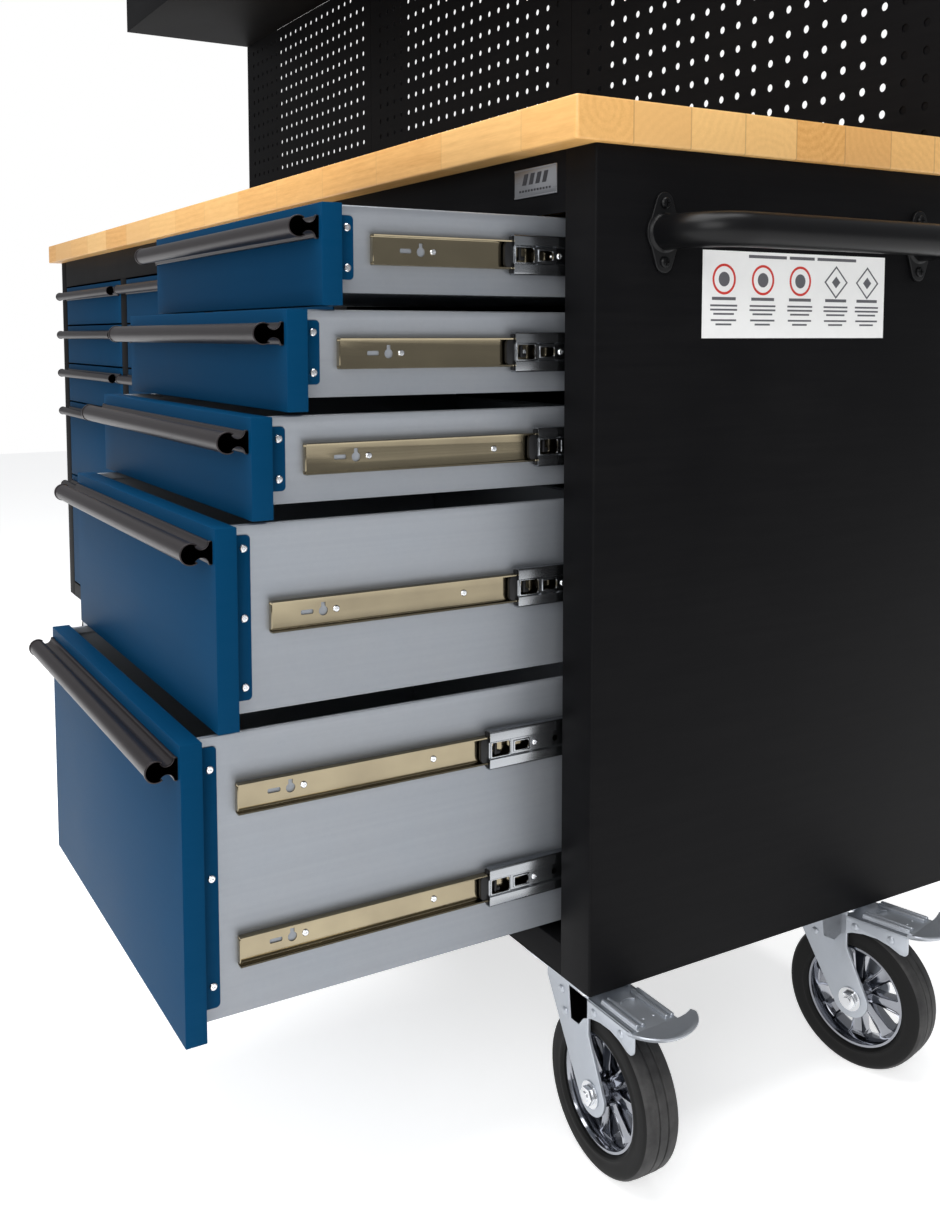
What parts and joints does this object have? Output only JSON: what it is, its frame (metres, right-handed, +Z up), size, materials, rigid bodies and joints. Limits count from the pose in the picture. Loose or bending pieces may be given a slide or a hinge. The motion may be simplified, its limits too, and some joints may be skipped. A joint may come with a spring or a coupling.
{
  "type": "mobile workbench",
  "caption": "Mobile steel workbench with banks of sliding drawers, a butcher-block top, pegboard back, overhead flip-up cabinets, a push handle and casters.",
  "frame": {"origin": "centre of the footprint's box, on the floor, with the right bank's drawers open as at rest", "axes": "+X along the bench towards the push handle, +Y from the drawer fronts to the pegboard, +Z up"},
  "size_m": [2.235, 0.9218, 1.8899],
  "materials": {
    "black_steel": "fine satin powder coat",
    "blue_steel": "satin powder coat",
    "galvanised_sheet": "galvanised",
    "zinc_steel": "bright zinc plate",
    "dark_bronze": "satin",
    "rubberwood": "oiled butcher block",
    "brushed_plate": "brushed",
    "tyre_rubber": "matt",
    "chrome_rim": "bright"
  },
  "bodies": {
    "bench": {"side_panels": "black_steel", "base_pan": "black_steel", "back_panel": "black_steel", "drawer_frame": "black_steel", "cabinet_slides": "zinc_steel", "worktop": "rubberwood", "push_handle": "black_steel", "nameplate": "brushed_plate", "pegboard_panels": "black_steel", "pegboard_uprights": "black_steel", "overhead_cases": "black_steel", "caster_plates": "zinc_steel"},
    "overhead_door_1": {"overhead_door_1": "blue_steel"},
    "overhead_door_2": {"overhead_door_2": "blue_steel"},
    "overhead_door_3": {"overhead_door_3": "blue_steel"},
    "swivel_front": {"swivel_fork_front": "zinc_steel"},
    "brake_front": {"brake_pedal_front": "zinc_steel"},
    "wheel_front": {"tyre_front": "tyre_rubber", "rim_front": "chrome_rim"},
    "fixed_wheel_front": {"fixed_wheel_front": "tyre_rubber"},
    "swivel_rear": {"swivel_fork_rear": "zinc_steel"},
    "brake_rear": {"brake_pedal_rear": "zinc_steel"},
    "wheel_rear": {"tyre_rear": "tyre_rubber", "rim_rear": "chrome_rim"},
    "fixed_wheel_rear": {"fixed_wheel_rear": "tyre_rubber"},
    "drawer_1": {"drawer_box_1": "galvanised_sheet", "drawer_front_1": "blue_steel", "drawer_handle_1": "dark_bronze"},
    "slide_1": {"slide_middle_1": "zinc_steel"},
    "drawer_2": {"drawer_box_2": "galvanised_sheet", "drawer_front_2": "blue_steel", "drawer_handle_2": "dark_bronze"},
    "slide_2": {"slide_middle_2": "zinc_steel"},
    "drawer_3": {"drawer_box_3": "galvanised_sheet", "drawer_front_3": "blue_steel", "drawer_handle_3": "dark_bronze"},
    "slide_3": {"slide_middle_3": "zinc_steel"},
    "drawer_4": {"drawer_box_4": "galvanised_sheet", "drawer_front_4": "blue_steel", "drawer_handle_4": "dark_bronze"},
    "slide_4": {"slide_middle_4": "zinc_steel"},
    "drawer_5": {"drawer_box_5": "galvanised_sheet", "drawer_front_5": "blue_steel", "drawer_handle_5": "dark_bronze"},
    "slide_5": {"slide_middle_5": "zinc_steel"},
    "closed_drawer_1_1": {"closed_drawer_1_1": "blue_steel"},
    "closed_drawer_1_2": {"closed_drawer_1_2": "blue_steel"},
    "closed_drawer_1_3": {"closed_drawer_1_3": "blue_steel"},
    "closed_drawer_1_4": {"closed_drawer_1_4": "blue_steel"},
    "closed_drawer_1_5": {"closed_drawer_1_5": "blue_steel"},
    "closed_drawer_2_1": {"closed_drawer_2_1": "blue_steel"},
    "closed_drawer_2_2": {"closed_drawer_2_2": "blue_steel"},
    "closed_drawer_2_3": {"closed_drawer_2_3": "blue_steel"},
    "closed_drawer_2_4": {"closed_drawer_2_4": "blue_steel"},
    "closed_drawer_2_5": {"closed_drawer_2_5": "blue_steel"},
    "closed_drawer_3_1": {"closed_drawer_3_1": "blue_steel"},
    "closed_drawer_3_2": {"closed_drawer_3_2": "blue_steel"},
    "closed_drawer_3_3": {"closed_drawer_3_3": "blue_steel"},
    "closed_drawer_3_4": {"closed_drawer_3_4": "blue_steel"},
    "closed_drawer_3_5": {"closed_drawer_3_5": "blue_steel"}
  },
  "joints": [
    {"name": "overhead_door_1_lift", "type": "hinge", "parent": "bench", "child": "overhead_door_1", "pos_m": [-0.75013, 0.10455, 1.8679], "axis": [-1, 0, 0], "range_deg": [0, 90]},
    {"name": "overhead_door_2_lift", "type": "hinge", "parent": "bench", "child": "overhead_door_2", "pos_m": [-0.0388, 0.10455, 1.8679], "axis": [-1, 0, 0], "range_deg": [0, 90]},
    {"name": "overhead_door_3_lift", "type": "hinge", "parent": "bench", "child": "overhead_door_3", "pos_m": [0.67253, 0.10455, 1.8679], "axis": [-1, 0, 0], "range_deg": [0, 90]},
    {"name": "swivel_front_turn", "type": "hinge", "parent": "bench", "child": "swivel_front", "pos_m": [0.9632, -0.01745, 0.194], "axis": [0, 0, 1], "continuous": true},
    {"name": "brake_front_release", "type": "hinge", "parent": "swivel_front", "child": "brake_front", "pos_m": [1.0172, -0.01745, 0.1746], "axis": [0, -1, 0], "range_deg": [0, 5]},
    {"name": "wheel_front_roll", "type": "hinge", "parent": "swivel_front", "child": "wheel_front", "pos_m": [1.0052, -0.01745, 0.08], "axis": [0, 1, 0], "continuous": true},
    {"name": "fixed_wheel_front_roll", "type": "hinge", "parent": "bench", "child": "fixed_wheel_front", "pos_m": [-1.0408, -0.01745, 0.08], "axis": [0, 1, 0], "continuous": true},
    {"name": "swivel_rear_turn", "type": "hinge", "parent": "bench", "child": "swivel_rear", "pos_m": [0.9632, 0.32155, 0.194], "axis": [0, 0, 1], "continuous": true},
    {"name": "brake_rear_release", "type": "hinge", "parent": "swivel_rear", "child": "brake_rear", "pos_m": [1.0156, 0.33461, 0.1746], "axis": [0.2419, -0.9703, 0], "range_deg": [0, 5]},
    {"name": "wheel_rear_roll", "type": "hinge", "parent": "swivel_rear", "child": "wheel_rear", "pos_m": [1.00395, 0.33171, 0.08], "axis": [-0.2419, 0.9703, 0], "continuous": true},
    {"name": "fixed_wheel_rear_roll", "type": "hinge", "parent": "bench", "child": "fixed_wheel_rear", "pos_m": [-1.0408, 0.32155, 0.08], "axis": [0, 1, 0], "continuous": true},
    {"name": "drawer_1_pull", "type": "slide", "parent": "bench", "child": "drawer_1", "axis": [0, -1, 0], "range_m": [-0.242, 0.158]},
    {"name": "slide_1_follow", "type": "slide", "parent": "bench", "child": "slide_1", "axis": [0, -1, 0], "range_m": [-0.103, 0.0676]},
    {"name": "drawer_2_pull", "type": "slide", "parent": "bench", "child": "drawer_2", "axis": [0, -1, 0], "range_m": [-0.274, 0.126]},
    {"name": "slide_2_follow", "type": "slide", "parent": "bench", "child": "slide_2", "axis": [0, -1, 0], "range_m": [-0.101, 0.04698]},
    {"name": "drawer_3_pull", "type": "slide", "parent": "bench", "child": "drawer_3", "axis": [0, -1, 0], "range_m": [-0.306, 0.094]},
    {"name": "slide_3_follow", "type": "slide", "parent": "bench", "child": "slide_3", "axis": [0, -1, 0], "range_m": [-0.076, 0.02404]},
    {"name": "drawer_4_pull", "type": "slide", "parent": "bench", "child": "drawer_4", "axis": [0, -1, 0], "range_m": [-0.338, 0.062]},
    {"name": "slide_4_follow", "type": "slide", "parent": "bench", "child": "slide_4", "axis": [0, -1, 0], "range_m": [-0.097, 0.01861]},
    {"name": "drawer_5_pull", "type": "slide", "parent": "bench", "child": "drawer_5", "axis": [0, -1, 0], "range_m": [-0.37, 0.03]},
    {"name": "slide_5_follow", "type": "slide", "parent": "bench", "child": "slide_5", "axis": [0, -1, 0], "range_m": [-0.128, 0.0113]},
    {"name": "closed_drawer_1_1_pull", "type": "slide", "parent": "bench", "child": "closed_drawer_1_1", "axis": [0, -1, 0], "range_m": [0, 0.4]},
    {"name": "closed_drawer_1_2_pull", "type": "slide", "parent": "bench", "child": "closed_drawer_1_2", "axis": [0, -1, 0], "range_m": [0, 0.4]},
    {"name": "closed_drawer_1_3_pull", "type": "slide", "parent": "bench", "child": "closed_drawer_1_3", "axis": [0, -1, 0], "range_m": [0, 0.4]},
    {"name": "closed_drawer_1_4_pull", "type": "slide", "parent": "bench", "child": "closed_drawer_1_4", "axis": [0, -1, 0], "range_m": [0, 0.4]},
    {"name": "closed_drawer_1_5_pull", "type": "slide", "parent": "bench", "child": "closed_drawer_1_5", "axis": [0, -1, 0], "range_m": [0, 0.4]},
    {"name": "closed_drawer_2_1_pull", "type": "slide", "parent": "bench", "child": "closed_drawer_2_1", "axis": [0, -1, 0], "range_m": [0, 0.4]},
    {"name": "closed_drawer_2_2_pull", "type": "slide", "parent": "bench", "child": "closed_drawer_2_2", "axis": [0, -1, 0], "range_m": [0, 0.4]},
    {"name": "closed_drawer_2_3_pull", "type": "slide", "parent": "bench", "child": "closed_drawer_2_3", "axis": [0, -1, 0], "range_m": [0, 0.4]},
    {"name": "closed_drawer_2_4_pull", "type": "slide", "parent": "bench", "child": "closed_drawer_2_4", "axis": [0, -1, 0], "range_m": [0, 0.4]},
    {"name": "closed_drawer_2_5_pull", "type": "slide", "parent": "bench", "child": "closed_drawer_2_5", "axis": [0, -1, 0], "range_m": [0, 0.4]},
    {"name": "closed_drawer_3_1_pull", "type": "slide", "parent": "bench", "child": "closed_drawer_3_1", "axis": [0, -1, 0], "range_m": [0, 0.4]},
    {"name": "closed_drawer_3_2_pull", "type": "slide", "parent": "bench", "child": "closed_drawer_3_2", "axis": [0, -1, 0], "range_m": [0, 0.4]},
    {"name": "closed_drawer_3_3_pull", "type": "slide", "parent": "bench", "child": "closed_drawer_3_3", "axis": [0, -1, 0], "range_m": [0, 0.4]},
    {"name": "closed_drawer_3_4_pull", "type": "slide", "parent": "bench", "child": "closed_drawer_3_4", "axis": [0, -1, 0], "range_m": [0, 0.4]},
    {"name": "closed_drawer_3_5_pull", "type": "slide", "parent": "bench", "child": "closed_drawer_3_5", "axis": [0, -1, 0], "range_m": [0, 0.4]}
  ],
  "couplings": [
    {"joint": "slide_1_follow", "follows": "drawer_1_pull", "ratio": 0.42149},
    {"joint": "slide_2_follow", "follows": "drawer_2_pull", "ratio": 0.36496},
    {"joint": "slide_3_follow", "follows": "drawer_3_pull", "ratio": 0.2451},
    {"joint": "slide_4_follow", "follows": "drawer_4_pull", "ratio": 0.28402},
    {"joint": "slide_5_follow", "follows": "drawer_5_pull", "ratio": 0.34324}
  ]
}
